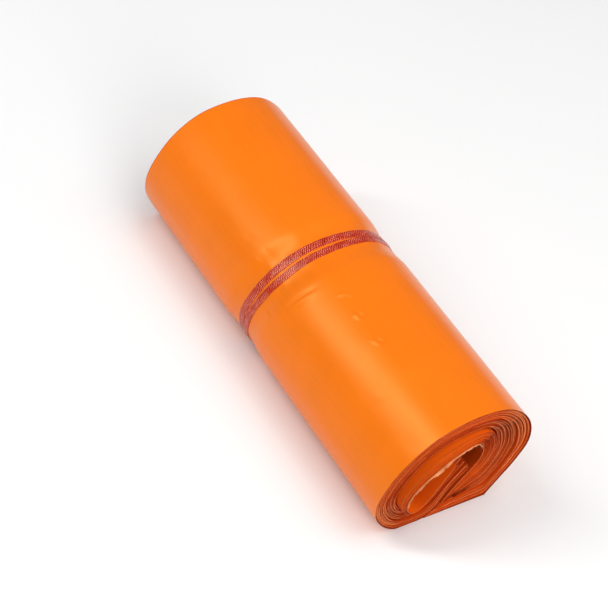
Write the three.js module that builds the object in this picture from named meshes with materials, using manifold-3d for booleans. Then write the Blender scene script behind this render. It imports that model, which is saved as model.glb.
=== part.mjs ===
// A bundle of one hundred flat poly mailers, rolled up across their length and tied with a narrow ribbon.
//
// Frame: millimetres, +Z up. The roll lies along X on its flat underside, with the origin on the floor under
// its middle. Sections are drawn in Y and Z, looking from the +X end towards -X.
//
// The stack of mailers is folded round one of its own ends, a tongue that leans up inside the roll: from the
// tongue's foot it goes left, up and over the top, down on the right to a crease, and back under the roll. A
// hollow is left round the tongue. The inner half of the stack has slipped along the roll: it stands out at
// the front end and is sunk at the back end. The ribbon goes round the roll twice, pinching a waist into it,
// and its two turns run side by side over the top and close up underneath. The release liner of the innermost
// mailer lines the roof of the hollow.
import * as THREE from "three";
import { mergeVertices } from "three/addons/utils/BufferGeometryUtils.js";
import Module from "manifold-3d";

const wasm = await Module();
wasm.setup();

// The roll
const MAILER_WIDTH = 250; // a mailer's width is the length of each turn
const SLIP = 6; // how far the inner half of the stack stands out of the outer half
const SLIP_ROOT = 2; // how deep the part that stands out is rooted in the rest
const CUT_CLEAR = 0.3; // how far the cut at the back end reaches into the hollow, so that it leaves no skin
const CENTRE = new THREE.Vector2(0, 36); // the point that the ribbon pulls towards
const SKIN_RADIUS = 34; // what is nearer to the centre than this doesn't give way under the ribbon
const ROUND_STEPS = 60;
const FLOOR_STEPS = 10;
const INNER_STEPS = 66;
const TONGUE_STEPS = 16;

// The waist under the ribbon
const WAIST_DEPTH = 1.2;
const WAIST_FLOOR = 7; // half the length of the waist's flat floor
const WAIST_REACH = 19; // half the whole length of the waist
const WAIST_SLICE = 2.5;

// The ribbon
const RIBBON_WIDTH = 4.7;
const RIBBON_THICKNESS = 0.6;
const RIBBON_GAP = 0.3;
const RIBBON_MIDDLE = -12.7;
const RIBBON_LEAN = 3.3; // how far the loop leans along X on each side of its middle
const RIBBON_LEAN_TO = (75 * Math.PI) / 180;
const TURN_SPACING = 3.7; // between the middles of the two turns, halfway between its widest and narrowest
const TURN_SPREAD = 2.6;
const TURN_SPREAD_AT = (130 * Math.PI) / 180;
const SECOND_TURN_RISE = 0.15; // the second turn rides a little higher than the first

// The release liner
const LINER_THICKNESS = 0.5;
const LINER_GAP = 0.4;
const LINER_STEPS = 24;

const FILM = new THREE.MeshStandardMaterial({ color: 0xf0781a, roughness: 0.38, metalness: 0 });
const RIBBON = new THREE.MeshStandardMaterial({ color: 0xc23b3c, roughness: 0.5, metalness: 0 });
const LINER = new THREE.MeshStandardMaterial({ color: 0xf3c4a8, roughness: 0.45, metalness: 0 });

const points = (...pairs) => pairs.map(([y, z]) => new THREE.Vector2(y, z));

// The outer skin, from the left end of the flat underside up, over the top and down to the crease on the right.
const ROUND = new THREE.SplineCurve(
  points(
    [-26, 0], [-33, 3.4], [-39.6, 10], [-45.2, 20], [-46.8, 31], [-43, 45.5], [-34.5, 59.5], [-22, 70.6],
    [-8, 75.9], [6, 77.2], [20, 74.8], [33, 66.3], [43, 53], [46.8, 37.5], [42.6, 23], [30.4, 0],
  ),
);
const UNDERSIDE = new THREE.LineCurve(ROUND.points.at(-1), ROUND.points[0]);
const FREE_END = new THREE.Vector2(-8.6, 0); // where the stack stops under the roll

// The outer face of the tongue, from its tip down to its foot on the floor.
const TONGUE_BACK = new THREE.SplineCurve(
  points([9.8, 33], [7.6, 30.2], [4.9, 26.6], [2, 22], [-0.4, 17], [-2.2, 11.6], [-5, 5], [-9.6, 1], [-13.5, 0]),
);

// The stack's inner face: down the tongue from its tip, round the left pocket, along the roof, round the right
// pocket and down beside the tongue's outer face to the floor.
const INNER = new THREE.SplineCurve(
  points(
    [-7.5, 55], [-10.5, 46.5], [-15.4, 34.2], [-20.6, 24.6], [-26.6, 21], [-31.3, 26.2], [-32.4, 31.5],
    [-31, 37], [-26.7, 43.6], [-19.7, 50.3], [-11.5, 55.8], [-4, 58.8], [2.5, 59], [7.5, 56.6], [10.4, 52],
    [12.7, 45], [13.3, 39.6], [12.3, 35.2], [9.2, 30], [5.4, 24], [1.8, 16.6], [-1.2, 9], [-5.2, 3],
  ),
);

// The line along which the inner half of the stack has slipped on the outer half, between the same two ends.
const SLIP_LINE = new THREE.SplineCurve(
  points(
    [-0.5, 46.3], [-5.8, 33.8], [-12.8, 20.6], [-18, 15.4], [-24.5, 15], [-31, 19], [-35.4, 30], [-31.6, 42.8],
    [-22.4, 54.6], [-9.6, 63.4], [3, 66.6], [14.6, 63.6], [21.6, 56], [24.8, 46.4], [25.2, 36], [21.6, 25],
    [15, 14.4], [8, 8.2], [0.6, 4.6],
  ),
);

// The stretch of the stack's inner face that the liner covers, from the left pocket to the top of the roof.
const LINER_ROUTE = new THREE.SplineCurve(
  points([-32, 34.5], [-31, 37], [-26.7, 43.6], [-19.7, 50.3], [-11.5, 55.8], [-5, 58.5]),
);

// Turns a shape drawn in X and Y and extruded along Z into one drawn in Y and Z that runs along X.
function layAlongX(geometry) {
  return geometry.applyMatrix4(new THREE.Matrix4().set(0, 0, 1, 0, 1, 0, 0, 0, 0, 1, 0, 0, 0, 0, 0, 1));
}

function angleRoundCentre(y, z) {
  return Math.atan2(z - CENTRE.y, y - CENTRE.x);
}

function ribbonMiddle(angle) {
  return RIBBON_MIDDLE + RIBBON_LEAN * Math.cos(angle - RIBBON_LEAN_TO);
}

function turnSpacing(angle) {
  return TURN_SPACING + TURN_SPREAD * Math.cos(angle - TURN_SPREAD_AT);
}

// A point of the outer skin moved towards the centre.
function sunk(point, depth) {
  const fromCentre = point.clone().sub(CENTRE);
  return fromCentre.setLength(fromCentre.length() - depth).add(CENTRE);
}

function outerSkin() {
  return [...ROUND.getSpacedPoints(ROUND_STEPS), ...UNDERSIDE.getPoints(FLOOR_STEPS).slice(1, -1)];
}

// The outer turns' slices along X: close together over the waist, and otherwise only at the two ends.
function sliceStations() {
  const back = -(MAILER_WIDTH + SLIP) / 2;
  const reach = WAIST_REACH + RIBBON_LEAN;
  const stations = [back];
  for (let x = RIBBON_MIDDLE - reach; x <= RIBBON_MIDDLE + reach; x += WAIST_SLICE) {
    stations.push(x);
  }
  stations.push(back + MAILER_WIDTH);
  return stations;
}

// How far a place is pulled in: fully on the waist's floor, easing out on both sides of it, and only the skin.
function waistDepth(x, y, z) {
  if (Math.hypot(y - CENTRE.x, z - CENTRE.y) < SKIN_RADIUS) {
    return 0;
  }
  const away = Math.abs(x - ribbonMiddle(angleRoundCentre(y, z)));
  const ease = THREE.MathUtils.clamp((WAIST_REACH - away) / (WAIST_REACH - WAIST_FLOOR), 0, 1);
  return WAIST_DEPTH * ease * ease * (3 - 2 * ease);
}

// The outline of the stack's whole section, round its inner face, its free end and its outer face.
function stackOutline() {
  const freeStretch = new THREE.LineCurve(FREE_END, ROUND.points.at(-1));
  return [
    ...INNER.getSpacedPoints(INNER_STEPS),
    ...freeStretch.getPoints(FLOOR_STEPS).slice(0, -1),
    ...ROUND.getSpacedPoints(ROUND_STEPS).reverse(),
    ...TONGUE_BACK.getSpacedPoints(TONGUE_STEPS).reverse(),
  ];
}

// A solid of an outline's section between two places along X.
function prism(outline, from, to) {
  const section = new THREE.Shape(outline);
  const geometry = layAlongX(new THREE.ExtrudeGeometry(section, { depth: to - from, bevelEnabled: false }));
  return solidOf(geometry.translate(from, 0, 0));
}

function makeStack() {
  const stations = sliceStations();
  const steps = stations.length - 1;
  const section = new THREE.Shape(stackOutline());
  const geometry = layAlongX(new THREE.ExtrudeGeometry(section, { steps, depth: steps, bevelEnabled: false }));
  const place = geometry.getAttribute("position");
  for (let i = 0; i < place.count; i++) {
    const x = stations[Math.round(place.getX(i))];
    const skin = new THREE.Vector2(place.getY(i), place.getZ(i));
    const moved = sunk(skin, waistDepth(x, skin.x, skin.y));
    place.setXYZ(i, x, moved.x, moved.y);
  }
  return solidOf(geometry);
}

// A curve's points, moved off it on the side where the hollow is.
function beside(curve, steps, distance) {
  return curve.getSpacedPoints(steps).map((point, i) => {
    const tangent = curve.getTangentAt(i / steps);
    return point.addScaledVector(new THREE.Vector2(tangent.y, -tangent.x), distance);
  });
}

function makeRoll() {
  const end = (MAILER_WIDTH + SLIP) / 2;
  const slipLine = SLIP_LINE.getSpacedPoints(INNER_STEPS).reverse();
  const standingOut = prism([...beside(INNER, INNER_STEPS, 0), ...slipLine], end - SLIP - SLIP_ROOT, end);
  const sunkIn = prism([...beside(INNER, INNER_STEPS, CUT_CLEAR), ...slipLine], -end - SLIP, -end + SLIP);
  return geometryOf(makeStack().add(standingOut).subtract(sunkIn));
}

// One turn of the ribbon: a ring that follows the waist's floor, each part of it shifted along X.
function makeTurn(side, rise) {
  const inner = WAIST_DEPTH - RIBBON_GAP - rise;
  const outer = inner - RIBBON_THICKNESS;
  const section = new THREE.Shape(outerSkin().map((point) => sunk(point, outer)));
  // The skin is listed clockwise, and a hole has to run the other way round from its shape.
  section.holes.push(new THREE.Path(outerSkin().map((point) => sunk(point, inner)).reverse()));
  const geometry = layAlongX(new THREE.ExtrudeGeometry(section, { depth: RIBBON_WIDTH, bevelEnabled: false }));
  const place = geometry.getAttribute("position");
  for (let i = 0; i < place.count; i++) {
    const angle = angleRoundCentre(place.getY(i), place.getZ(i));
    const middle = ribbonMiddle(angle) + (side * turnSpacing(angle)) / 2;
    place.setX(i, place.getX(i) - RIBBON_WIDTH / 2 + middle);
  }
  return geometry;
}

function solidOf(geometry) {
  const bare = new THREE.BufferGeometry().setAttribute("position", geometry.getAttribute("position"));
  const merged = mergeVertices(bare, 1e-4);
  return new wasm.Manifold(
    new wasm.Mesh({
      numProp: 3,
      vertProperties: merged.getAttribute("position").array,
      triVerts: new Uint32Array(merged.index.array),
    }),
  );
}

function geometryOf(solid) {
  const { vertProperties, triVerts } = solid.getMesh();
  const geometry = new THREE.BufferGeometry();
  geometry.setAttribute("position", new THREE.BufferAttribute(vertProperties, 3));
  geometry.setIndex(new THREE.BufferAttribute(triVerts, 1));
  geometry.computeVertexNormals();
  return geometry;
}

function makeRibbon() {
  return geometryOf(solidOf(makeTurn(-1, 0)).add(solidOf(makeTurn(1, SECOND_TURN_RISE))));
}

// The liner's section: the wall's own line moved into the hollow twice, by the gap and by gap and thickness.
function makeLiner() {
  const upper = beside(LINER_ROUTE, LINER_STEPS, LINER_GAP);
  const lower = beside(LINER_ROUTE, LINER_STEPS, LINER_GAP + LINER_THICKNESS).reverse();
  const back = -(MAILER_WIDTH - SLIP) / 2;
  return geometryOf(prism([...upper, ...lower], back, back + MAILER_WIDTH));
}

function piece(name, geometry, material) {
  const mesh = new THREE.Mesh(geometry, material);
  mesh.name = name;
  return mesh;
}

const bundle = new THREE.Group();
bundle.add(
  piece("mailer_roll", makeRoll(), FILM),
  piece("tie_ribbon", makeRibbon(), RIBBON),
  piece("release_liner", makeLiner(), LINER),
);

export default bundle;
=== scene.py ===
"""A roll of poly mailers: one hundred flat mailers folded round one of their own ends and tied with a ribbon.

Lengths in this file are millimetres, turned to metres where a mesh is made. The roll lies along X.
"""

import math
import random

import bpy
import numpy as np
from mathutils import Matrix, Vector


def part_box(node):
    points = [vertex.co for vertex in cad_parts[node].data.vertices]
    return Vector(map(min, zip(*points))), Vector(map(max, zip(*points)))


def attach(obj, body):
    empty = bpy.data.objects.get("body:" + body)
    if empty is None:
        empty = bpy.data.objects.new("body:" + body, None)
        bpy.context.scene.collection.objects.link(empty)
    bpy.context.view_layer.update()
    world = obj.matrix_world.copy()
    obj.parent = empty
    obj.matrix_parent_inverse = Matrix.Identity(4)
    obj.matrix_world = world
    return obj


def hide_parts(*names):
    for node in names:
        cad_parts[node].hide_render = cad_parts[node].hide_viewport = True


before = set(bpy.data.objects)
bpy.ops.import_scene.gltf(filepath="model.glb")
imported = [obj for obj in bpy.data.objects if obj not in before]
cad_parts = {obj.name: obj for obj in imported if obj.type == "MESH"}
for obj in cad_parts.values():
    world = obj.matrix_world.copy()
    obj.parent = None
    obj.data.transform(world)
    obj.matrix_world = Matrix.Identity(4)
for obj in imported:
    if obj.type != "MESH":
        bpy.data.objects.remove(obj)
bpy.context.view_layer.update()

bl_info = {
    "name": "Poly Mailer Roll",
    "version": (1, 0, 0),
    "blender": (4, 5, 0),
    "location": "3D View > Sidebar > Mailer Roll",
    "description": "Builds a tied roll of poly mailers round its frame",
    "category": "Object",
}

MM = 0.001
BODY = "root"


def box_mm(node):
    """A CAD node's lowest and highest corner, in millimetres."""
    low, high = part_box(node)
    return np.array(low) / MM, np.array(high) / MM


ROLL_LOW, ROLL_HIGH = box_mm("mailer_roll")
SLIP = 6.0  # how far the inner mailers stand out of the outer ones at the front end
BACK = ROLL_LOW[0]  # where the outer mailers start and end along X
FRONT = ROLL_HIGH[0] - SLIP

# The stack's section: ribs across it, each from its inner face to its outer face, as places in Y and Z.
# They go from the tongue's tip to the free end under the roll.
RIBS = np.array(
    [
        ((-7.5, 55.0), (10.2, 33.2)),  # the tongue's tip
        ((-10.0, 47.6), (8.0, 30.0)),
        ((-13.0, 40.0), (5.4, 26.6)),
        ((-16.0, 33.2), (2.6, 22.0)),
        ((-18.8, 27.6), (0.2, 17.0)),
        ((-21.4, 23.6), (-1.6, 11.6)),
        ((-24.0, 21.6), (-4.6, 5.0)),  # its foot
        ((-25.8, 20.9), (-9.4, 0.9)),
        ((-26.9, 20.9), (-13.5, 0.0)),
        ((-27.9, 21.4), (-24.5, 0.0)),
        ((-28.5, 22.0), (-26.0, 0.0)),
        ((-29.8, 23.6), (-33.0, 3.4)),
        ((-31.3, 26.2), (-39.6, 10.0)),
        ((-32.1, 29.0), (-45.2, 20.0)),
        ((-32.3, 32.6), (-46.8, 31.0)),  # the left side
        ((-30.0, 39.0), (-43.0, 45.5)),
        ((-25.2, 45.4), (-34.5, 59.5)),
        ((-18.6, 51.2), (-22.0, 70.6)),
        ((-11.5, 55.8), (-8.0, 75.9)),
        ((-3.5, 58.9), (6.0, 77.2)),  # the top
        ((3.5, 58.8), (20.0, 74.8)),
        ((8.4, 55.8), (33.0, 66.3)),
        ((10.8, 50.8), (43.0, 53.0)),
        ((12.9, 44.6), (46.8, 37.5)),  # the right side
        ((13.3, 39.4), (42.6, 23.0)),
        ((12.0, 35.2), (36.6, 11.6)),
        ((9.8, 31.6), (31.0, 1.1)),
        ((9.2, 30.7), (30.4, 0.0)),  # the crease
        ((8.6, 29.8), (29.2, 0.0)),
        ((5.0, 24.0), (20.0, 0.0)),
        ((1.4, 16.6), (6.0, 0.0)),
        ((-1.6, 9.0), (-9.4, 0.0)),  # the free end
    ]
)
# How far the middle of the stack bulges off a straight rib, where the leaves fan out round the crease.
BULGES = {
    23: (0.4, 0.0),
    24: (1.6, 1.6),
    25: (2.4, 1.8),
    26: (3.0, 4.2),
    27: (1.8, 3.6),
    28: (0.8, 2.9),
    29: (2.0, 3.4),
    30: (2.2, 2.8),
    31: (1.6, 1.4),
}
FOOT_RIB = 6
LEFT_RIB = 14
TOP_RIB = 19
RIGHT_RIB = 23
CREASE_RIB = 27
LAST_RIB = len(RIBS) - 1
SKIN_STARTS = 10  # the rib from which the stack's outer face is the roll's skin

# The waist that the ribbon pulls into the roll, and the ribbon's route, as in the CAD.
CENTRE = np.array([0.0, 36.0])
WAIST_DEPTH = 1.2
WAIST_FLOOR = 7.0
WAIST_REACH = 19.0
RIBBON_MIDDLE = -12.7
RIBBON_LEAN = 3.3
RIBBON_LEAN_TO = math.radians(75)
TURN_SPACING = 3.7
TURN_SPREAD = 2.6
TURN_SPREAD_AT = math.radians(130)


# Settings -----------------------------------------------------------------------------------------


class MailerSettings(bpy.types.PropertyGroup):
    count: bpy.props.IntProperty(
        name="Mailers", description="How many mailers the roll holds", default=100, min=40
    )
    film: bpy.props.FloatProperty(
        name="Film",
        description="Thickness of one flat mailer",
        default=0.00012,
        subtype="DISTANCE",
        unit="LENGTH",
    )
    slipped: bpy.props.IntProperty(
        name="Slipped", description="How many inner mailers have slipped along the roll", default=20, min=2
    )
    colour: bpy.props.FloatVectorProperty(
        name="Colour",
        description="Colour of the film",
        default=(0.87, 0.178, 0.005),
        subtype="COLOR",
        min=0,
        max=1,
    )
    seed: bpy.props.IntProperty(name="Seed", description="Picks how the mailers lie", default=7)


class RibbonSettings(bpy.types.PropertyGroup):
    width: bpy.props.FloatProperty(
        name="Width", description="Width of the ribbon", default=0.0047, subtype="DISTANCE", unit="LENGTH"
    )
    thickness: bpy.props.FloatProperty(
        name="Thickness",
        description="Thickness of the ribbon",
        default=0.0003,
        subtype="DISTANCE",
        unit="LENGTH",
    )
    colour: bpy.props.FloatVectorProperty(
        name="Colour",
        description="Colour of the ribbon",
        default=(0.56, 0.018, 0.003),
        subtype="COLOR",
        min=0,
        max=1,
    )


class LinerSettings(bpy.types.PropertyGroup):
    thickness: bpy.props.FloatProperty(
        name="Thickness",
        description="Thickness of the liner",
        default=0.0001,
        subtype="DISTANCE",
        unit="LENGTH",
    )
    colour: bpy.props.FloatVectorProperty(
        name="Colour",
        description="Colour of the liner",
        default=(1.0, 0.43, 0.18),
        subtype="COLOR",
        min=0,
        max=1,
    )


class StageSettings(bpy.types.PropertyGroup):
    floor_size: bpy.props.FloatProperty(
        name="Floor", description="Side of the floor", default=6.0, subtype="DISTANCE", unit="LENGTH"
    )
    floor_colour: bpy.props.FloatVectorProperty(
        name="Floor colour", description="Colour of the floor", default=(0.88, 0.88, 0.88), subtype="COLOR"
    )


# Shader maths -------------------------------------------------------------------------------------


def feed(tree, socket, given):
    """Links a socket of a material's node tree to a value, or sets it."""
    if isinstance(given, Value):
        tree.links.new(given.socket, socket)
    else:
        socket.default_value = given


class Value:
    """A socket of a material's node tree that can be calculated with."""

    def __init__(self, tree, socket):
        self.tree = tree
        self.socket = socket

    def _math(self, operation, *others):
        node = self.tree.nodes.new("ShaderNodeMath")
        node.operation = operation
        for socket, operand in zip(node.inputs, others):
            feed(self.tree, socket, operand)
        return Value(self.tree, node.outputs[0])

    def __add__(self, other):
        return self._math("ADD", self, other)

    def __radd__(self, other):
        return self._math("ADD", other, self)

    def __sub__(self, other):
        return self._math("SUBTRACT", self, other)

    def __rsub__(self, other):
        return self._math("SUBTRACT", other, self)

    def __mul__(self, other):
        return self._math("MULTIPLY", self, other)

    def __rmul__(self, other):
        return self._math("MULTIPLY", other, self)

    def clamped(self):
        return self._math("MINIMUM", self._math("MAXIMUM", self, 0.0), 1.0)


class Finish:
    """A procedural material in the making."""

    def __init__(self, name):
        self.material = bpy.data.materials.new(name)
        self.material.use_nodes = True
        self.tree = self.material.node_tree
        self.tree.nodes.clear()
        self.shader = self.tree.nodes.new("ShaderNodeBsdfPrincipled")
        output = self.tree.nodes.new("ShaderNodeOutputMaterial")
        self.tree.links.new(self.shader.outputs[0], output.inputs["Surface"])

    def node(self, kind, settings=None, output=0, **inputs):
        """Any node: its settings first, then its sockets by name, with underscores for spaces."""
        node = self.tree.nodes.new(kind)
        for name, setting in (settings or {}).items():
            setattr(node, name, setting)
        for name, given in inputs.items():
            feed(self.tree, node.inputs[name.replace("_", " ")], given)
        return Value(self.tree, node.outputs[output])

    def place(self, scale):
        """The piece's own coordinates, in metres, each times its scale."""
        coordinates = self.node("ShaderNodeTexCoord", output="Object")
        return self.node("ShaderNodeMapping", Vector=coordinates, Scale=scale)

    def sheet(self, scale=(1, 1, 1)):
        """The place on the flat sheet that the piece was made of, from its UV map in metres."""
        coordinates = self.node("ShaderNodeTexCoord", output="UV")
        return self.node("ShaderNodeMapping", Vector=coordinates, Scale=scale)

    def noise(self, vector, scale=1.0, detail=2.0, roughness=0.5, distortion=0.0):
        return self.node(
            "ShaderNodeTexNoise",
            output="Fac",
            Vector=vector,
            Scale=scale,
            Detail=detail,
            Roughness=roughness,
            Distortion=distortion,
        )

    def attribute(self, name):
        return self.node("ShaderNodeAttribute", {"attribute_name": name}, output="Fac")

    def ramp(self, value, low, high):
        """0 below low, 1 above high, smooth between."""
        return self.node(
            "ShaderNodeMapRange",
            {"interpolation_type": "SMOOTHSTEP"},
            Value=value,
            From_Min=low,
            From_Max=high,
        )

    def mix(self, share, first, second):
        """A colour between two colours."""
        node = self.tree.nodes.new("ShaderNodeMix")
        node.data_type = "RGBA"
        feed(self.tree, node.inputs[0], share)
        for number, colour in ((6, first), (7, second)):
            feed(self.tree, node.inputs[number], colour if isinstance(colour, Value) else (*colour[:3], 1.0))
        return Value(self.tree, node.outputs[2])

    def bump(self, height, distance, strength=1.0, normal=None):
        inputs = {"Height": height, "Distance": distance, "Strength": strength}
        if normal is not None:
            inputs["Normal"] = normal
        return self.node("ShaderNodeBump", **inputs)

    def set(self, **inputs):
        """The shader's own sockets, by name, with underscores for spaces."""
        for name, given in inputs.items():
            feed(self.tree, self.shader.inputs[name.replace("_", " ")], given)
        return self.material


def shade(colour, factor):
    """A colour made darker or lighter."""
    return tuple(min(1.0, channel * factor) for channel in colour)


def film_finish(colour):
    """Satin polyethylene film: faint streaks along its drawing, cloudy gloss, a pebbled surface and painted
    shade where it lies deep in the stack, in gaps and in the hollow.
    """
    finish = Finish("orange_film")
    streaks = finish.noise(finish.sheet((26.0, 520.0, 1.0)), detail=3.0)
    clouds = finish.noise(finish.place((22.0, 22.0, 22.0)), detail=4.0, roughness=0.6)
    pebbles = finish.noise(finish.place((2600.0, 2600.0, 2600.0)), detail=2.0)
    dents = finish.noise(finish.place((90.0, 150.0, 150.0)), detail=3.0, distortion=0.6)
    base = finish.mix(finish.ramp(clouds, 0.3, 0.7), shade(colour, 0.95), shade(colour, 1.03))
    base = finish.mix(finish.ramp(streaks, 0.25, 0.75) * 0.3, base, shade(colour, 1.1))
    # painted shade: the inside mark turns the film darker and redder deeper in the stack, in its gaps and on
    # the wrapper's inner face
    inside = finish.attribute("inside")
    base = finish.mix(inside.clamped(), base, painted_stack_shade(colour))
    base = finish.mix((inside - 1).clamped(), base, painted_gap_shade(colour))
    base = finish.mix((inside - 2).clamped(), base, shade(painted_gap_shade(colour), 0.3))
    normal = finish.bump(dents, distance=0.00009, strength=0.5)
    normal = finish.bump(streaks, distance=0.00003, strength=0.35, normal=normal)
    normal = finish.bump(pebbles, distance=0.00002, strength=0.5, normal=normal)
    return finish.set(
        Base_Color=base,
        Roughness=0.225 + 0.12 * clouds + 0.05 * streaks,
        IOR=1.5,
        Specular_IOR_Level=0.45,
        Specular_Tint=(1.0, 0.7, 0.24, 1.0),
        Normal=normal,
    )


def painted_stack_shade(colour):
    """Painted shade: the deeper, redder look that film has where light only comes to it through more film."""
    return (colour[0] * 0.95, colour[1] * 0.68, colour[2])


def painted_gap_shade(colour):
    """Painted shade: the still deeper red between loose mailers, where light has been from sheet to sheet
    many times.
    """
    return (colour[0] * 0.78, colour[1] * 0.42, colour[2])


def edge_finish(colour):
    """Cut edges of the film: painted light where they lie loose and painted shade where light is lost between
    the sheets.
    """
    finish = Finish("orange_film_edge")
    tone_and_shade = finish.attribute("tone_and_shade")
    specks = finish.noise(finish.place((300.0, 300.0, 300.0)), detail=3.0)
    # painted light for loose cut edges and painted shade for edges lost between tight sheets, mixed by the
    # edge's mark
    light = (min(1.0, colour[0] * 1.15), colour[1] * 1.5, colour[2] * 15)
    dark = (colour[0] * 0.22, colour[1] * 0.045, colour[2] * 0.2)
    base = finish.mix((tone_and_shade + (specks - 0.5) * 0.6).clamped(), light, dark)
    normal = finish.bump(specks, distance=0.0001, strength=0.5)
    return finish.set(Base_Color=base, Roughness=0.6 + 0.2 * specks, Specular_IOR_Level=0.1, Normal=normal)


RIB_PITCH = 0.00125  # of the weave's slanting ribs and of its warp, in metres
WARP_PITCH = 0.0011
# a painted highlight: the pale pink of the ribbon's glints, mixed into its colour
PAINTED_GLINT_COLOUR = (1.0, 0.28, 0.16)


def ribbon_finish(colour):
    """Woven satin ribbon: slanting ribs broken up by the warp, selvedges, a broken sheen and painted pink
    highlights mottled over its threads.
    """
    finish = Finish("red_ribbon")
    flat = finish.sheet()
    across = finish.node("ShaderNodeSeparateXYZ", output="X", Vector=flat)
    along = finish.node("ShaderNodeSeparateXYZ", output="Y", Vector=flat)
    sine = {"operation": "SINE"}
    broken = finish.noise(finish.sheet((420.0, 200.0, 1.0)), detail=3.0)
    slant = (along + across * 0.55 + broken * 0.0026) * (math.tau / RIB_PITCH)
    ribs = finish.node("ShaderNodeMath", sine, Value=slant)
    warp = finish.node("ShaderNodeMath", sine, Value=(across + broken * 0.0009) * (math.tau / WARP_PITCH))
    weave = (ribs * 0.65 + warp * 0.35) * 0.5 + 0.5
    glints = finish.noise(finish.sheet((1300.0, 700.0, 1.0)), detail=2.0)
    bright = finish.ramp(weave + (glints - 0.5) * 1.1, 0.45, 0.95)
    sheen_mottle = finish.ramp(finish.noise(finish.sheet((330.0, 190.0, 1.0)), detail=3.0), 0.36, 0.64)
    base = finish.mix(finish.ramp(weave, 0.0, 0.75), shade(colour, 0.3), colour)
    # painted highlight: glinting threads turn pale pink, more where the sheen is mottled brighter
    base = finish.mix(bright * (0.2 + 0.75 * sheen_mottle), base, PAINTED_GLINT_COLOUR)
    normal = finish.bump(weave + sheen_mottle * 0.6, distance=0.00005, strength=1.0)
    return finish.set(
        Base_Color=base,
        Roughness=0.2 - 0.04 * bright + 0.06 * sheen_mottle,
        Specular_IOR_Level=0.45,
        Specular_Tint=(1.0, 0.8, 0.6, 1.0),
        Normal=normal,
    )


def liner_finish(colour):
    """Pale crinkled release liner with a waxy face."""
    finish = Finish("pale_liner")
    crinkle = finish.noise(finish.place((260.0, 420.0, 420.0)), detail=5.0, roughness=0.65)
    clouds = finish.noise(finish.place((90.0, 90.0, 90.0)), detail=3.0)
    base = finish.mix(finish.ramp(clouds, 0.35, 0.65), shade(colour, 0.82), shade(colour, 1.1))
    normal = finish.bump(crinkle, distance=0.0003, strength=0.7)
    return finish.set(Base_Color=base, Roughness=0.42 + 0.2 * crinkle, Normal=normal)


def floor_finish(colour):
    """A plain pale sweep."""
    finish = Finish("pale_floor")
    grain = finish.noise(finish.place((8.0, 8.0, 8.0)), detail=2.0)
    base = finish.mix(grain, shade(colour, 0.99), colour)
    return finish.set(Base_Color=base, Roughness=0.6 + 0.1 * grain, Specular_IOR_Level=0.2)


# Meshes -------------------------------------------------------------------------------------------


def laid_grid(name, columns, rows):
    """A flat grid with that many vertices each way. Its vertices are listed row by row."""
    bpy.ops.object.select_all(action="DESELECT")
    bpy.ops.mesh.primitive_grid_add(x_subdivisions=columns - 1, y_subdivisions=rows - 1)
    sheet = bpy.context.active_object
    sheet.name = name
    sheet.data.name = name
    if len(sheet.data.vertices) != columns * rows:
        raise RuntimeError(f"{name}: the grid has {len(sheet.data.vertices)} vertices")
    return sheet


def shaped(sheet, places, flat):
    """Moves a grid's vertices to places and writes its flat layout as its UV map, both in millimetres."""
    mesh = sheet.data
    mesh.vertices.foreach_set("co", (np.asarray(places, float).reshape(-1, 3) * MM).ravel())
    corners = np.zeros(len(mesh.loops), np.int32)
    mesh.loops.foreach_get("vertex_index", corners)
    layer = mesh.uv_layers.active or mesh.uv_layers.new(name="UVMap")
    layer.data.foreach_set("uv", (np.asarray(flat, float).reshape(-1, 2)[corners] * MM).ravel())
    mesh.update()
    return sheet


def swept_sheet(name, strips):
    """A sheet laid through strips round the roll: each one's X, its section, and its flat X and Y."""
    rows = len(strips[0][1])
    places = np.empty((rows, len(strips), 3))
    flat = np.empty((rows, len(strips), 2))
    for number, (x, section, flat_x, flat_y) in enumerate(strips):
        places[:, number, 0] = x
        places[:, number, 1:] = section
        flat[:, number, 0] = flat_x
        flat[:, number, 1] = flat_y
    return shaped(laid_grid(name, len(strips), rows), places, flat)


def marked(sheet, name, amounts):
    """Writes an amount on each vertex of a sheet, for its material."""
    attribute = sheet.data.attributes.new(name, "FLOAT", "POINT")
    attribute.data.foreach_set("value", (np.zeros(len(sheet.data.vertices)) + amounts).astype(np.float32))


def joined(sheets, name):
    bpy.ops.object.select_all(action="DESELECT")
    for sheet in sheets:
        sheet.select_set(True)
    bpy.context.view_layer.objects.active = sheets[0]
    if len(sheets) > 1:
        bpy.ops.object.join()
    piece = bpy.context.active_object
    piece.name = name
    piece.data.name = name
    return piece


def thickened(piece, thickness):
    """Gives a sheet its thickness, in metres."""
    bpy.ops.object.select_all(action="DESELECT")
    piece.select_set(True)
    bpy.context.view_layer.objects.active = piece
    solidify = piece.modifiers.new("thickness", "SOLIDIFY")
    solidify.thickness = thickness
    solidify.offset = 0.0
    bpy.ops.object.modifier_apply(modifier=solidify.name)
    bpy.ops.object.shade_smooth_by_angle(angle=math.radians(35))
    return piece


def finished(piece, materials, slot, *nodes):
    """Gives a piece its materials, lets it ride on the roll and hides the CAD nodes it stands for.

    A second material goes on the faces at the ends of the roll, where the sheet is seen edge on.
    """
    piece.data.materials.clear()
    for material in materials:
        piece.data.materials.append(material)
    if len(materials) > 1:
        normals = np.zeros(len(piece.data.polygons) * 3)
        piece.data.polygons.foreach_get("normal", normals)
        piece.data.polygons.foreach_set("material_index", (np.abs(normals[::3]) > 0.6).astype(np.int32))
    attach(piece, BODY)
    if nodes:
        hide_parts(*nodes)


# Paths --------------------------------------------------------------------------------------------


def eased(share):
    """A share that starts and ends softly, kept between 0 and 1."""
    share = np.clip(share, 0, 1)
    return share**2 * (3 - 2 * share)


def lengths_along(path):
    return np.concatenate([[0.0], np.cumsum(np.linalg.norm(np.diff(path, axis=0), axis=1))])


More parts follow.
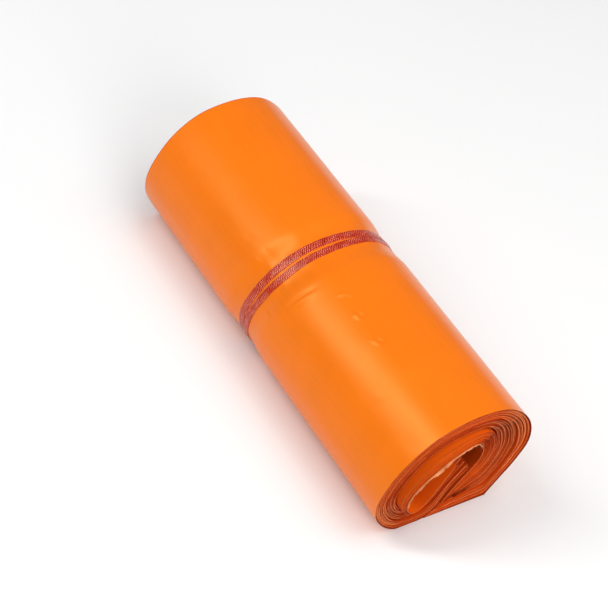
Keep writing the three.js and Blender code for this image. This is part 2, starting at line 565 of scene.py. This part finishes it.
def sideways(path):
    """The direction across a path at each of its points."""
    along = np.gradient(path, axis=0)
    along /= np.linalg.norm(along, axis=1)[:, None]
    return np.stack([along[:, 1], -along[:, 0]], axis=1)


def curve_through(points, at):
    """A smooth curve through points, at places counted in points. It goes straight where the points do."""
    points = np.asarray(points, float)
    steps = np.diff(points, axis=0)
    lengths = np.maximum(np.linalg.norm(steps, axis=1), 1e-6)[:, None]
    slopes = steps / lengths
    tangents = np.empty_like(points)
    tangents[1:-1] = (lengths[1:] * slopes[:-1] + lengths[:-1] * slopes[1:]) / (lengths[1:] + lengths[:-1])
    tangents[0] = slopes[0]
    tangents[-1] = slopes[-1]
    span = np.clip(np.floor(at).astype(int), 0, len(points) - 2)
    t = (np.asarray(at) - span)[:, None]
    reach = lengths[span]
    return (
        (2 * t**3 - 3 * t**2 + 1) * points[span]
        + (t**3 - 2 * t**2 + t) * reach * tangents[span]
        + (3 * t**2 - 2 * t**3) * points[span + 1]
        + (t**3 - t**2) * reach * tangents[span + 1]
    )


def route_stations(longest_step, sharpest_turn=0.16):
    """Places along the ribs, closer together where the stack bends tightly."""
    stations = [0.0]
    fine = np.linspace(0, 1, 9)
    for rib in range(LAST_RIB):
        most = 1
        for share in (0.0, 0.5, 1.0):
            line = RIBS[:, 0] + (RIBS[:, 1] - RIBS[:, 0]) * share
            path = curve_through(line, rib + fine)
            steps = np.diff(path, axis=0)
            length = np.linalg.norm(steps, axis=1).sum()
            angles = np.unwrap(np.arctan2(steps[:, 1], steps[:, 0]))
            turn = abs(angles[-1] - angles[0])
            most = max(most, math.ceil(length / longest_step), math.ceil(turn / sharpest_turn))
        stations.extend(rib + (np.arange(most) + 1) / most)
    return np.array(stations)


# The stack ----------------------------------------------------------------------------------------


def slip_lost(at):
    """How much of their slip the inner mailers have lost at places along the ribs, as they fall back."""
    first, last = TOP_RIB - 3, RIGHT_RIB + 2
    return eased((at - first) / (last - first))


class Stack:
    """Where each mailer of the stack lies on each rib, and how far each has slipped along the roll."""

    PITCH = 0.132  # from one mailer to the next where they lie tight
    STEEPEST = 0.5  # the least that the pitch counts for where the ribs lean
    FULLEST = 0.96  # how much of a rib's width the mailers' pitch can fill
    EASE = 13.0  # over what length of the route a gap opens or closes
    SKIN = 4  # how many stand off together outside the rest
    THICK = (6, 10)  # how many cling together in a thick bundle
    THIN = (2, 5)  # and in a thin one inside it
    THIN_SLIPPED = (1, 3)  # and in a thin one of slipped mailers
    THICK_GAP, SKIN_GAP, SHORT_GAP = 2.2, 2.6, 0.1  # how loose each lies, where a thin bundle is 1
    WHIM, WHIM_STEP = 0.5, 24  # how unevenly a bundle's gap opens, and over what length of the route
    FAN = 0.3  # how loose single mailers lie round the crease
    SHORT = (0.3, 0.56)  # the shares of the stack between which mailers stop short of the free end
    # From which rib on, how loose the slipped mailers lie, the gap behind them, and how loose the rest lie.
    STRETCHES = (
        (0, 1.0, 5.72, 1.0),  # the tongue opens behind them
        (FOOT_RIB, 1.0, 2.2, 1.0),
        (FOOT_RIB + 4, 0.25, 8.0, 1.0),  # on the left they are the tightest ones
        (LEFT_RIB + 2, 4.0, 8.8, 0.3),  # over the top only they are loose
        (TOP_RIB + 2, 2.4, 5.28, 1.0),
    )
    # How many ribs short of the tongue's tip and of the free end mailers stop, at shares of the stack.
    TONGUE_ENDS = (0.0, 0.2, 0.21, 0.42, 0.44, 0.6, 0.62, 1.0), (0.7, 0.8, 0.05, 0.1, 0.6, 0.7, 0.1, 0.1)
    FREE_ENDS = (0.0, 0.22, 0.5, 0.55, 0.57, 1.0), (0.0, 0.1, 1.5, 1.6, 0.0, 0.0)
    # How much mailers differ by thick bundle, by thin bundle and one by one: how far they stand out, how
    # many ribs sooner or later they end, and how dark their cut edges are, from 0 to 1.
    THICK_SLIPS, THIN_SLIP, LONE_SLIP = (-0.6, -0.3, 0.25, 0.5), 0.2, 0.05
    THICK_STAGGER, THIN_STAGGER, LONE_STAGGER = 0.13, 0.1, 0.03
    THICK_TONES, THIN_TONE, LONE_TONE = (0.0, 0.2, 0.5), 0.3, 0.12
    FREE_STAGGER = 1.2  # how much of the unevenness shows at the free end
    SLIP_FALL, SLIP_DROP = 0.4, 2.6  # how much less the last slipped mailer stands out than the first
    SLIP_LEFT = 0.5  # how far slipped mailers stand out past the right side
    LIGHTER_FROM, LIGHTER = 0.66, 0.45  # the share of the stack outside which cut edges are this much as dark
    # Painted shade for light lost at ends in the void under the crease, at the tongue's tip, on its bundles
    # and everywhere, and painted light for light gained on its other mailers and where the stack fans out.
    LOST_IN_VOID, LOST_AT_TIP, LOST_ON_BUNDLES, LOST = 1.1, 0.6, 0.35, 0.08
    GAINED_IN_TONGUE, GAINED_IN_FAN = 0.12, 0.2

    def __init__(self, count, slipped, seed):
        self.count = count
        self.slipped = slipped
        self.draw = random.Random(seed)
        self.thick, self.thin = self._bundles()
        self.shares = self._shares()
        self.slips, self.stagger, self.tones_and_shade = self._lies()

    def _bundles(self):
        """The first mailers of the thick bundles that cling together, and of the thin ones inside them."""
        thick = [0, self.slipped // 3, self.slipped]
        while thick[-1] < self.count - self.SKIN - self.THICK[1]:
            thick.append(thick[-1] + self.draw.randint(*self.THICK))
        thick.append(self.count - self.SKIN)
        thin = set(thick)
        leaf = 0
        while leaf < self.count - 2:
            thin.add(leaf)
            leaf += self.draw.randint(*(self.THIN_SLIPPED if leaf < self.slipped else self.THIN))
        return thick, sorted(thin)

    def _gap_weight(self, leaf, rib):
        """How much of the loose room on a rib opens in front of a bundle that starts with this mailer."""
        share = leaf / self.count
        bundle = self.THICK_GAP if leaf in self.thick else 1.0
        if rib >= LAST_RIB - 1 and self.SHORT[0] < share < self.SHORT[1]:
            return self.SHORT_GAP
        if rib >= TOP_RIB + 2 and leaf == self.count - self.SKIN:
            return self.SKIN_GAP
        if rib > RIGHT_RIB:  # towards the crease the inner mailers take more and more of the room
            return bundle * (1.0 if rib < RIGHT_RIB + 2 else 1.7 - 1.4 * share)
        _, slipped, behind, others = next(row for row in reversed(self.STRETCHES) if rib >= row[0])
        if leaf == self.slipped:
            return behind
        return bundle * (slipped if leaf < self.slipped else others)

    def _shares(self):
        """For each rib and mailer, its place across the stack from 0 at the inner face to 1 at the outer."""
        middle = RIBS.mean(axis=1)
        walked = lengths_along(middle)
        knots = np.arange(0, walked[-1] + self.WHIM_STEP, self.WHIM_STEP)
        extra = np.zeros((len(RIBS), self.count))
        for leaf in self.thin[1:]:
            whims = [math.exp(self.draw.gauss(0, self.WHIM)) for _ in knots]
            extra[:, leaf] = np.interp(walked, knots, whims)
            extra[:, leaf] *= [self._gap_weight(leaf, rib) for rib in range(len(RIBS))]
        extra[RIGHT_RIB:] += self.FAN
        extra[:, 0] = 0.0
        extra /= extra.sum(axis=1)[:, None]
        apart = walked[:, None] - walked[None, :]
        near = np.exp(-((apart / self.EASE) ** 2)) * np.gradient(walked)[None, :]
        extra = near @ extra / near.sum(axis=1)[:, None]
        along = np.gradient(middle, walked, axis=0)
        across = RIBS[:, 1] - RIBS[:, 0]
        width = np.linalg.norm(across, axis=1)
        lean = np.abs(across[:, 0] * along[:, 1] - across[:, 1] * along[:, 0]) / width
        shares = np.zeros((len(RIBS), self.count))
        for rib in range(len(RIBS)):
            pitch = self.PITCH / max(lean[rib], self.STEEPEST)
            tight = min(pitch, self.FULLEST * width[rib] / (self.count - 1))
            gaps = tight + (width[rib] - tight * (self.count - 1)) * extra[rib]
            gaps[0] = 0.0
            shares[rib] = np.cumsum(gaps) / gaps.sum()
        return shares

    def _lies(self):
        """How far each mailer stands out at its tongue end, how uneven its ends lie and how dark its cut edge
        is, by its bundle's own colour and painted shade.
        """
        slips, stagger, tones_and_shade = np.zeros((3, self.count))
        thick = thin = uneven = uneven_thin = tone_and_shade = shadow = 0.0
        for leaf in range(self.count):
            if leaf in self.thick:
                thick = self.draw.choice(self.THICK_SLIPS) * (0.3 if leaf <= self.slipped else 1.0)
                uneven = self.draw.gauss(0, self.THICK_STAGGER)
                tone_and_shade = self.draw.choice(self.THICK_TONES)
            if leaf in self.thin:
                thin = self.draw.gauss(0, self.THIN_SLIP)
                uneven_thin = self.draw.gauss(0, self.THIN_STAGGER)
                shadow = self.draw.uniform(-self.THIN_TONE, self.THIN_TONE)
            slips[leaf] = self._slip_out(leaf) + thick + thin + self.draw.gauss(0, self.LONE_SLIP)
            stagger[leaf] = uneven + uneven_thin + self.draw.gauss(0, self.LONE_STAGGER)
            dark = self._darkness(leaf, tone_and_shade + shadow) + self.draw.gauss(0, self.LONE_TONE)
            tones_and_shade[leaf] = min(1.0, max(0.0, dark))
        return slips, stagger, tones_and_shade

    def _darkness(self, leaf, usual):
        """How dark a mailer's cut edge is: painted shade beside gaps, on the outermost mailers and on the
        first three beside the slipped ones, and lighter towards the outer face.
        """
        if leaf >= self.count - self.SKIN or self.slipped <= leaf < self.slipped + 3:
            return 1.0
        since = leaf - max(first for first in self.thick if first <= leaf)
        dark = 1.0 if since < 2 else 0.8 if leaf in self.thin else usual
        return dark if leaf / self.count < self.LIGHTER_FROM else dark * self.LIGHTER

    def _slip_out(self, leaf):
        """How far a slipped mailer stands out at its tongue end: the further in, the further out."""
        share = leaf / self.slipped
        return SLIP - self.SLIP_FALL * share - self.SLIP_DROP * share**3 if share < 1 else 0.0

    def line(self, leaf):
        """A mailer's place on each rib."""
        share = self.shares[:, leaf][:, None]
        bulges = np.array([BULGES.get(rib, (0.0, 0.0)) for rib in range(len(RIBS))])
        return RIBS[:, 0] + (RIBS[:, 1] - RIBS[:, 0]) * share + 4 * share * (1 - share) * bulges

    def reach(self, leaf):
        """The places along the ribs where a mailer starts and ends."""
        share = leaf / (self.count - 1)
        start = self.stagger[leaf] + np.interp(share, *self.TONGUE_ENDS)
        end = LAST_RIB - np.interp(share, *self.FREE_ENDS) + self.FREE_STAGGER * self.stagger[leaf]
        return max(0.0, start), min(LAST_RIB, end)

    def slip_along(self, leaf, at):
        """How far a mailer stands out at places along the ribs."""
        if leaf == self.count - 1:
            return np.zeros(len(at))
        if leaf >= self.slipped:
            return np.full(len(at), self.slips[leaf])
        return self.slips[leaf] + (self.SLIP_LEFT - self._slip_out(leaf)) * slip_lost(at)

    def lost_light(self, leaf, at):
        """How much painted shade a mailer gets at places along the ribs, on its edges and faces, or painted
        light below 0.
        """
        start, end = self.reach(leaf)
        short = np.clip((LAST_RIB - end) * 1.5, 0, 1) * (1.0 if leaf % 5 < 3 else 0.4)
        lost = self.LOST + self.LOST_IN_VOID * short * np.clip(1.0 - (end - at) / 0.7, 0, 1)
        lost += self.LOST_AT_TIP * np.clip(0.5 - (at - start) / 0.6, 0, 1)
        tongue = self.LOST_ON_BUNDLES if leaf in self.thick else -self.GAINED_IN_TONGUE
        lost += tongue * np.clip(FOOT_RIB - at, 0, 1)
        if leaf < self.count - self.SKIN:
            outside = 1 if leaf / self.count > self.SHORT[1] else -1
            lost -= self.GAINED_IN_FAN * np.clip((at - RIGHT_RIB + 1) / 2, 0, 1)
            lost -= self.GAINED_IN_FAN * np.clip(at - CREASE_RIB, 0, 1) * outside
        return lost


def bearing(places):
    """In which direction from the ribbon's centre places of the section lie."""
    return np.arctan2(places[:, 1] - CENTRE[1], places[:, 0] - CENTRE[0])


def ribbon_middle(angle):
    """Where along X the middle of the ribbon's two turns is, in directions from its centre."""
    return RIBBON_MIDDLE + RIBBON_LEAN * np.cos(angle - RIBBON_LEAN_TO)


def waist_depth(x, places):
    """How far the skin is pulled in by the ribbon at places of the section."""
    away = np.abs(x - ribbon_middle(bearing(places)))
    return WAIST_DEPTH * eased((WAIST_REACH - away) / (WAIST_REACH - WAIST_FLOOR))


def waist_share(at):
    """How much of the waist the outer face follows at places along the ribs: the tongue is inside it."""
    return np.clip(at - FOOT_RIB, 0, 1)


def sunk(places, depth):
    """Places of the section moved towards the ribbon's centre."""
    out = places - CENTRE
    far = np.linalg.norm(out, axis=1)[:, None]
    return CENTRE + out * (1 - np.reshape(depth, (-1, 1)) / far)


SKIN_ROOM = 0.45
FLAT_APART = 37.0  # from one mailer's flat layout to the next, so that their streaks differ
FLOOR_ROOM, FLOOR_PITCH = 0.4, 0.16  # how far mailers keep off the floor: at most, and for each one outside


def skin_room(x):
    """How far the mailers just under the outermost one keep clear of its slack, at places along X."""
    ends = np.minimum(np.abs(x - BACK), np.abs(x - FRONT))
    return SKIN_ROOM * np.clip((ends - 1.0) / 6.0, 0, 1)


def end_ripple(walked, bundle):
    """How unevenly a bundle's cut ends lie along X, at lengths along its route."""
    return 0.1 * np.sin(walked / 9.0 + bundle * 2.1) + 0.05 * np.sin(walked / 3.7 + bundle)


def inner_shade(stack, leaf, at):
    """How much painted shade a mailer's faces get at places along the ribs: 1 is the painted shade of the
    stack, 2 that of its gaps.
    """
    if leaf < 2:  # the faces that show in the hollow, with painted shade darkest at its right end
        return 0.8 + 1.7 * np.clip((at - TOP_RIB - 0.5) / 2.5, 0, 1)
    return np.full(len(at), 1.0 if leaf < stack.slipped else 2.0)


def leaf_sheet(stack, leaf, stations, columns, pull):
    """One mailer of the stack as an open sheet. pull is how much of the waist it follows."""
    start, end = stack.reach(leaf)
    at = np.concatenate([[start], stations[(stations > start + 0.02) & (stations < end - 0.02)], [end]])
    path = curve_through(stack.line(leaf), at)
    path[:, 1] = np.maximum(path[:, 1], min(FLOOR_ROOM, FLOOR_PITCH * (stack.count - 1 - leaf)))
    walked = lengths_along(path)
    slip = stack.slip_along(leaf, at)
    ripple = end_ripple(walked, sum(leaf >= first for first in stack.thin))
    strips = []
    for column in columns:
        x = column + slip + ripple * (abs(column - BACK) < 1 or abs(column - FRONT) < 1)
        section = path
        if pull:
            slack = skin_room(column) * np.clip((at - SKIN_STARTS) / 2, 0, 1) * (path[:, 1] > 1)
            section = sunk(path, pull * (waist_depth(column, path) * waist_share(at) + slack))
        strips.append((x, section, x + leaf * FLAT_APART, walked))
    sheet = swept_sheet("mailer", strips)
    # painted shade on the cut edges and faces, in voids, at the tip, beside gaps and deeper in the stack, and
    # painted light where the stack fans out
    lost = stack.lost_light(leaf, at)
    tone_and_shade = np.clip(stack.tones_and_shade[leaf] + lost, 0.0, 1.0)
    inside = np.maximum(lost, 0.0) + inner_shade(stack, leaf, at)
    marked(sheet, "tone_and_shade", np.repeat(tone_and_shade, len(columns)))
    marked(sheet, "inside", np.repeat(inside, len(columns)))
    return sheet


# Operators ----------------------------------------------------------------------------------------


class ROLL_OT_inner_mailers(bpy.types.Operator):
    """Adds the mailers inside the roll, each one a sheet that follows the stack's route"""

    bl_idname = "mailer_roll.inner_mailers"
    bl_label = "Inner Mailers"

    END = 7  # how far from the ends of the roll the waisted mailers have a column more

    def execute(self, context):
        settings = context.scene.roll_mailers
        stack = Stack(settings.count, settings.slipped, settings.seed)
        stations = route_stations(2.4)
        pulled = settings.count * 4 // 5  # the first mailer that is pulled in by the ribbon
        sheets = [leaf_sheet(stack, leaf, stations, (BACK, FRONT), 0.0) for leaf in range(pulled)]
        piece = thickened(joined(sheets, "inner_mailers"), settings.film)
        film = film_finish(settings.colour), edge_finish(settings.colour)
        finished(piece, film, "film")

        reach = WAIST_REACH + RIBBON_LEAN
        waist = RIBBON_MIDDLE + np.linspace(-reach, reach, 9)
        columns = (BACK, BACK + self.END, *waist, FRONT - self.END, FRONT)
        sheets = []
        for leaf in range(pulled, settings.count - 1):
            pull = min(1.0, (leaf - pulled) / (settings.count - stack.SKIN - pulled))
            sheets.append(leaf_sheet(stack, leaf, stations, columns, pull))
        piece = thickened(joined(sheets, "outer_mailers"), settings.film)
        finished(piece, film, "film")
        return {"FINISHED"}


class ROLL_OT_wrapper(bpy.types.Operator):
    """Adds the outermost mailer, with the waist under the ribbon and its dents and wrinkles"""

    bl_idname = "mailer_roll.wrapper"
    bl_label = "Outermost Mailer"

    # Creases and dents: along X, along the outer face from the tongue's tip, half length, half width, height
    # and turn from X, all in millimetres and degrees.
    CREASES = (
        (38.2, 148.2, 2.3, 1.0, 0.6, 8),
        (39.0, 150.0, 2.0, 0.9, -0.42, 12),
        (57.2, 147.8, 2.2, 0.9, 0.55, 22),
        (57.8, 149.5, 2.0, 0.9, -0.4, 22),
        (22.7, 149.0, 2.4, 0.8, 0.32, 68),
        (25.4, 152.5, 2.0, 0.8, 0.32, 25),
        (8.4, 129.6, 8.0, 1.0, -0.3, 79),
        (10.8, 129.2, 8.0, 1.8, 0.26, 79),
        (-0.4, 109.3, 2.6, 0.8, 0.34, -4),
        (0.4, 111.0, 2.6, 0.8, -0.2, -4),
        (-26.0, 124.0, 3.0, 0.9, 0.25, 10),
        (-27.0, 131.0, 2.6, 0.9, -0.2, -12),
        (39.0, 161.1, 1.2, 0.6, -0.16, 0),
        (-42.0, 128.3, 4.0, 1.6, -0.18, 30),
        (84.0, 133.0, 3.4, 1.2, 0.16, 62),
        (101.0, 118.0, 3.0, 1.1, -0.16, 35),
        (-88.0, 152.0, 3.4, 1.2, 0.14, 15),
        (70.0, 232.0, 3.6, 1.2, 0.2, 50),
        (-64.0, 221.0, 3.0, 1.2, -0.2, 24),
    )

    # Where the sheet is divided finely, for the creases that show most: along the ribs and along X.
    FINE_RIBS = 14.6, 18.7, 72
    FINE_X = -8.0, 62.0, 92
    PUCKER = 0.09  # how high the puckers beside the ribbon are, how far from it, and over what width
    PUCKER_AWAY, PUCKER_WIDE = 8.0, 5.0
    SWELL = 0.1  # how high the whole skin's soft swells are
    SOFT_DENTS = 46
    DEEPEST, HIGHEST = -0.42, 0.6

    def execute(self, context):
        settings = context.scene.roll_mailers
        at = self.finer(route_stations(2.2, 0.1), *self.FINE_RIBS)
        path = curve_through(RIBS[:, 1], at)
        path[:, 1] = np.maximum(path[:, 1], 0.0)
        walked = lengths_along(path)
        outwards = sideways(path)
        outwards *= np.sign(np.sum(outwards * (path - CENTRE), axis=1))[:, None]
        skin = (at >= SKIN_STARTS) & (path[:, 1] > 1.0)
        strips = []
        for x in self.finer(np.linspace(BACK, FRONT, 118), *self.FINE_X):
            section = sunk(path, waist_depth(x, path) * waist_share(at))
            height = self.relief(x, walked, path) * skin
            strips.append((x, section + outwards * height[:, None], x, walked))
        sheet = swept_sheet("wrapper_mailer", strips)
        # painted shade on the wrapper's cut edge, three quarters of the darkest
        marked(sheet, "tone_and_shade", 0.75)
        piece = thickened(sheet, settings.film)
        self.paint_shade_on_inner_face(piece)
        film = bpy.data.materials["orange_film"], bpy.data.materials["orange_film_edge"]
        finished(piece, film, "film", "mailer_roll")
        return {"FINISHED"}

    def paint_shade_on_inner_face(self, piece):
        """Paints deep shade on the face towards the stack. Solidify puts one face in each half of a sheet's
        vertices.
        """
        mesh = piece.data
        places = np.zeros(len(mesh.vertices) * 3)
        mesh.vertices.foreach_get("co", places)
        faces = places.reshape(2, -1, 3)[:, :, 1:] / MM - CENTRE
        inner = np.linalg.norm(faces, axis=2).mean(axis=1).argmin()
        inside = np.zeros(faces.shape[:2], np.float32)
        # painted deep shade on the face towards the stack
        inside[inner] = 2.6
        mesh.attributes.new("inside", "FLOAT", "POINT").data.foreach_set("value", inside.ravel())

    def finer(self, places, low, high, count):
        """Places with that many in one stretch of them."""
        return np.concatenate([places[places < low], np.linspace(low, high, count), places[places > high]])

    def relief(self, x, walked, path):
        """How far the film stands off its smooth form at a place along X, for each place round the roll."""
        draw = random.Random(23)
        angle = bearing(path)
        away = np.abs(x - ribbon_middle(angle))
        beside = np.exp(-(((away - self.PUCKER_AWAY) / self.PUCKER_WIDE) ** 2))
        height = beside * self.PUCKER * np.sin(angle * 23 + 1.7 * np.sin(angle * 5))
        swell = np.sin(x / 21.0 + 2.0 * np.sin(angle * 2)) * np.sin(angle * 3 + x / 47.0)
        height = height + self.SWELL * swell
        for _ in range(self.SOFT_DENTS):
            place, round_to = draw.uniform(BACK, FRONT), draw.uniform(80, 270)
            long, wide = draw.uniform(7, 20), draw.uniform(4, 9)
            rise = draw.choice((-1, 1)) * draw.uniform(0.05, 0.17)
            height = height + rise * np.exp(-(((x - place) / long) ** 2) - ((walked - round_to) / wide) ** 2)
        for place, round_to, long, wide, rise, turn in self.CREASES:
            turn = math.radians(turn)
            dx = x - place
            ds = walked - round_to
            u = dx * math.cos(turn) + ds * math.sin(turn)
            v = ds * math.cos(turn) - dx * math.sin(turn)
            height = height + rise * np.exp(-((u / long) ** 2) - (v / wide) ** 2)
        ends = min(abs(x - BACK), abs(x - FRONT))
        return np.clip(height, self.DEEPEST, self.HIGHEST) * min(1.0, 0.15 + max(0.0, ends - 1.0) / 6.0)


class ROLL_OT_ribbon(bpy.types.Operator):
    """Adds the ribbon, wound twice round the roll"""

    bl_idname = "mailer_roll.ribbon"
    bl_label = "Ribbon"

    STEP = 0.3  # along the ribbon
    COLUMNS = 13
    BUCKLE = 0.9  # from one crosswise buckle to the next
    MEET_AT = 20  # how far before the skin's start its ends meet, under the roll
    CROSS = 0.96, 0.08  # when the second turn crosses over, and for how long, in turns
    CROWN = 0.05  # how much its middle, its buckles and its selvedges stand off
    BUCKLE_HIGH, SELVEDGE_HIGH = 0.035, 0.05
    GAP = 0.02  # how far it stays off the skin

    def execute(self, context):
        settings = context.scene.roll_ribbon
        width = settings.width / MM
        thickness = settings.thickness / MM
        path, turns = self.route()
        along = np.arange(len(path)) * self.STEP
        angle = bearing(path)
        middle = ribbon_middle(angle)
        spacing = TURN_SPACING + TURN_SPREAD * np.cos(angle - TURN_SPREAD_AT)
        cross = eased((turns - self.CROSS[0]) / self.CROSS[1])
        centre = middle + (cross - 0.5) * spacing
        first_edge = middle - 0.5 * spacing + width / 2  # where the first turn's upper edge lies
        narrower = 1 - 0.1 * cross  # the second turn is drawn tighter
        buckle = self.BUCKLE_HIGH * np.sin(along / self.BUCKLE * math.tau)
        strips = []
        for share in np.linspace(-0.5, 0.5, self.COLUMNS):
            edge = abs(share) * 2
            x = centre + share * width * narrower + 0.06 * np.sin(along / 5.3 + (share > 0)) * edge**4
            over = np.clip((first_edge + 0.25 - x) / 0.5, 0, 1) * cross
            rise = thickness * 1.15 * eased(over)
            selvedge = self.SELVEDGE_HIGH * np.exp(-(((edge - 0.93) / 0.08) ** 2))
            crown = self.CROWN * (1 - edge**4) + buckle * (1 - edge**6) + selvedge
            depth = waist_depth(x, path) - thickness / 2 - self.GAP - rise - crown
            strips.append((x, sunk(path, depth), share * width, along))
        piece = thickened(swept_sheet("ribbon", strips), settings.thickness)
        finished(piece, [ribbon_finish(settings.colour)], "ribbon", "tie_ribbon")
        return {"FINISHED"}

    def route(self):
        """Even places of the section for two turns round the roll, and how many turns lie before each."""
        skin = curve_through(RIBS[:, 1], np.linspace(SKIN_STARTS, LAST_RIB, 900))
        ring = np.concatenate([skin, [(-26.0, 0.0)]])
        ring[:, 1] = np.maximum(ring[:, 1], 0.0)
        walked = lengths_along(ring)
        count = int(walked[-1] / self.STEP)
        even = np.linspace(0, walked[-1], count + 1)
        loop = np.stack([np.interp(even, walked, ring[:, axis]) for axis in (0, 1)], axis=1)
        start = count - int(self.MEET_AT / self.STEP)
        order = np.arange(start, start + 2 * count) % count
        return loop[order], np.arange(len(order)) / count


class ROLL_OT_liner(bpy.types.Operator):
    """Adds the release liner along the roof of the hollow, with its ragged edge"""

    bl_idname = "mailer_roll.liner"
    bl_label = "Release Liner"

    FROM_RIB = 12.5
    TO_RIB = 22.0
    TORN = 14  # how far from its front edge it is ragged and crinkled
    HANG = 2.6  # how far it hangs off the roof there

    def execute(self, context):
        settings = context.scene.roll_liner
        draw = random.Random(11)
        at = np.linspace(self.FROM_RIB, self.TO_RIB, 130)
        path = curve_through(RIBS[:, 0], at)
        walked = lengths_along(path)
        inwards = sideways(path)
        front = FRONT + SLIP + 0.6
        knots = np.arange(0, walked[-1] + 2, 0.9)
        ragged = np.interp(walked, knots, [draw.uniform(-0.3, 0.25) for _ in knots])
        fine = np.linspace(front - 24, front, 22)
        strips = []
        for column in (*np.linspace(BACK + SLIP, front - 26, 12), *fine):
            near = np.clip((column - front + self.TORN) / self.TORN, 0, 1)
            hang = near**1.5 * self.HANG * np.exp(-(((walked - walked[-1] * 0.45) / 4.0) ** 2))
            crinkle = near * (0.14 * np.sin(walked / 1.7 + column / 3.0) + 0.08 * np.sin(walked / 0.9))
            off = 0.35 + hang + np.maximum(crinkle, -0.2)
            tear = ragged * (1 + hang / 1.2) * near**2
            x = column + tear - hang * 0.2 - SLIP * slip_lost(at) * near
            strips.append((x, path + inwards * off[:, None], column, walked))
        piece = thickened(swept_sheet("liner", strips), settings.thickness)
        finished(piece, [liner_finish(settings.colour)], "liner", "release_liner")
        return {"FINISHED"}


class ROLL_OT_stage(bpy.types.Operator):
    """Adds the floor, the lights and the camera"""

    bl_idname = "mailer_roll.stage"
    bl_label = "Stage"

    CAMERA_AT = (0.4784, -0.4610, 0.6810)
    CAMERA_RIGHT = (0.5081, 0.8380, 0.1989)
    CAMERA_UP = (-0.6824, 0.2508, 0.6866)
    LENS = 100.7
    AIM = Vector((0, 0, 0.03))  # where the lights point
    WORLD_STRENGTH = 0.24
    LIGHTS = (  # name, place, width, height, power
        ("key", (-0.67, -1.02, 1.38), 0.24, 1.5, 15.5),
        ("top", (0.45, 0.45, 1.72), 1.6, 1.6, 19.5),
        ("front", (1.5, -0.3, 0.9), 1.0, 1.0, 12.5),
    )

    def execute(self, context):
        settings = context.scene.roll_stage
        bpy.ops.object.select_all(action="DESELECT")
        bpy.ops.mesh.primitive_plane_add(size=settings.floor_size)
        floor = context.active_object
        floor.name = "floor"
        floor.data.materials.append(floor_finish(settings.floor_colour))
        world = bpy.data.worlds.new("studio")
        context.scene.world = world
        world.use_nodes = True
        background = world.node_tree.nodes["Background"]
        background.inputs["Color"].default_value = (1.0, 1.0, 1.0, 1.0)
        background.inputs["Strength"].default_value = self.WORLD_STRENGTH
        for name, place, *sizes in self.LIGHTS:
            self.add_light(name, Vector(place), *sizes)
        self.add_camera(context)
        context.scene.view_settings.view_transform = "Standard"
        return {"FINISHED"}

    def add_light(self, name, place, width, height, power):
        bpy.ops.object.light_add(type="AREA", location=place)
        light = bpy.context.active_object
        light.name = name
        light.data.shape = "RECTANGLE"
        light.data.size = width
        light.data.size_y = height
        light.data.energy = power
        aim = self.AIM - place
        light.rotation_euler = aim.to_track_quat("-Z", "Y").to_euler()

    def add_camera(self, context):
        bpy.ops.object.camera_add()
        camera = context.active_object
        camera.name = "camera"
        right = Vector(self.CAMERA_RIGHT).normalized()
        up = (Vector(self.CAMERA_UP) - Vector(self.CAMERA_UP).project(right)).normalized()
        back = right.cross(up)
        turn = Matrix((right, up, back)).transposed()
        camera.matrix_world = Matrix.Translation(self.CAMERA_AT) @ turn.to_4x4()
        camera.data.lens = self.LENS
        camera.data.sensor_width = 36.0
        camera.data.clip_start = 0.01
        context.scene.camera = camera


class ROLL_PT_panel(bpy.types.Panel):
    """The roll's settings and operators"""

    bl_label = "Mailer Roll"
    bl_idname = "ROLL_PT_panel"
    bl_space_type = "VIEW_3D"
    bl_region_type = "UI"
    bl_category = "Mailer Roll"

    def draw(self, context):
        for group, operators in PARTS:
            box = self.layout.box()
            settings = getattr(context.scene, group)
            for name in settings.__annotations__:
                box.prop(settings, name)
            for operator in operators:
                box.operator(operator.bl_idname)


SETTINGS = {
    "roll_stage": StageSettings,
    "roll_mailers": MailerSettings,
    "roll_ribbon": RibbonSettings,
    "roll_liner": LinerSettings,
}
PARTS = (
    ("roll_stage", (ROLL_OT_stage,)),
    ("roll_mailers", (ROLL_OT_inner_mailers, ROLL_OT_wrapper)),
    ("roll_ribbon", (ROLL_OT_ribbon,)),
    ("roll_liner", (ROLL_OT_liner,)),
)
CLASSES = (*SETTINGS.values(), *(operator for _, operators in PARTS for operator in operators), ROLL_PT_panel)


def register():
    for cls in CLASSES:
        bpy.utils.register_class(cls)
    for name, cls in SETTINGS.items():
        setattr(bpy.types.Scene, name, bpy.props.PointerProperty(type=cls))


def unregister():
    for name in SETTINGS:
        delattr(bpy.types.Scene, name)
    for cls in reversed(CLASSES):
        bpy.utils.unregister_class(cls)


def main():
    register()
    bpy.ops.mailer_roll.stage()
    bpy.ops.mailer_roll.inner_mailers()
    bpy.ops.mailer_roll.wrapper()
    bpy.ops.mailer_roll.ribbon()
    bpy.ops.mailer_roll.liner()


if __name__ == "__main__":
    main()
